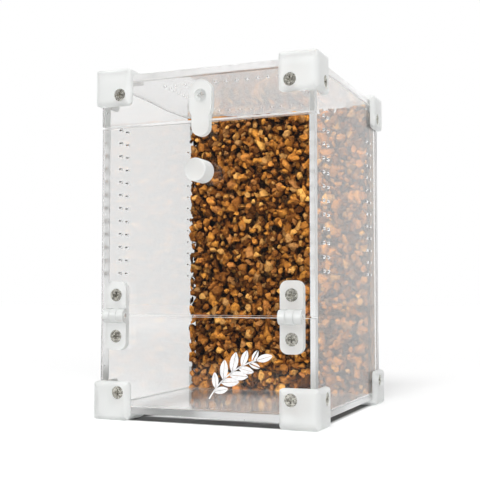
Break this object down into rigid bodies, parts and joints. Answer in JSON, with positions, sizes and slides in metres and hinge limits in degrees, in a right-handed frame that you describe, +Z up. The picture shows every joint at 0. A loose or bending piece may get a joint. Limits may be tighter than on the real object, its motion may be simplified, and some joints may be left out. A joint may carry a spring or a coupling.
{
  "type": "plastic pet keeper",
  "caption": "Small upright clear case for insects: screwed corner brackets, hinged front door with knob and turning latch, air holes and a cork back wall.",
  "frame": {"origin": "middle of the whole object from side to side and from the knob's front to the back brackets, in the plane of the undersides of the four lower corner brackets on which it stands; the case's own middle is 3.25 mm behind it", "axes": "+Z up, -Y towards the front with the door, +X to the right as seen from the front"},
  "size_m": [0.105, 0.1174, 0.156],
  "materials": {
    "clear_acrylic": "clear polished acrylic sheet",
    "milky_clear": "milky clear plastic",
    "frosted_bracket": "frosted translucent moulded plastic",
    "hinge_plastic": "milky translucent moulded plastic",
    "screw_steel": "plain steel screws",
    "pin_steel": "ground steel pin",
    "clear_nylon": "clear nylon",
    "cork_board": "pressed cork granules",
    "cork_chips": "rough golden brown cork chips"
  },
  "bodies": {
    "frame": {"bottom_panel": "clear_acrylic", "top_panel": "clear_acrylic", "left_panel": "clear_acrylic", "right_panel": "clear_acrylic", "back_panel": "clear_acrylic", "lower_front_panel": "clear_acrylic", "top_front_strip": "clear_acrylic", "bracket_lower_front_left": "frosted_bracket", "bracket_lower_front_right": "frosted_bracket", "bracket_lower_back_left": "frosted_bracket", "bracket_lower_back_right": "frosted_bracket", "bracket_upper_front_left": "frosted_bracket", "bracket_upper_front_right": "frosted_bracket", "bracket_upper_back_left": "frosted_bracket", "bracket_upper_back_right": "frosted_bracket", "front_bracket_screws": "screw_steel", "back_bracket_screws": "screw_steel", "left_bracket_screws": "screw_steel", "right_bracket_screws": "screw_steel", "top_bracket_screws": "screw_steel", "bottom_bracket_screws": "screw_steel", "left_hinge_frame_leaf": "hinge_plastic", "right_hinge_frame_leaf": "hinge_plastic", "left_hinge_pin": "pin_steel", "right_hinge_pin": "pin_steel", "hinge_frame_screws": "screw_steel", "latch_washer": "clear_nylon", "latch_pivot_screw": "clear_nylon", "latch_pivot_nut": "clear_nylon", "cork_board": "cork_board", "cork_face": "cork_chips"},
    "door": {"door_panel": "clear_acrylic", "door_knob": "milky_clear", "left_hinge_door_leaf": "hinge_plastic", "right_hinge_door_leaf": "hinge_plastic", "hinge_door_screws": "screw_steel"},
    "latch": {"latch_tab": "milky_clear"}
  },
  "joints": [
    {"name": "door_swing", "type": "hinge", "parent": "frame", "child": "door", "pos_m": [0, -0.05305, 0.04575], "axis": [1, 0, 0], "range_deg": [0, 120]},
    {"name": "latch_turn", "type": "hinge", "parent": "frame", "child": "latch", "pos_m": [0, -0.05175, 0.14], "axis": [0, 1, 0], "range_deg": [-90, 90]}
  ]
}
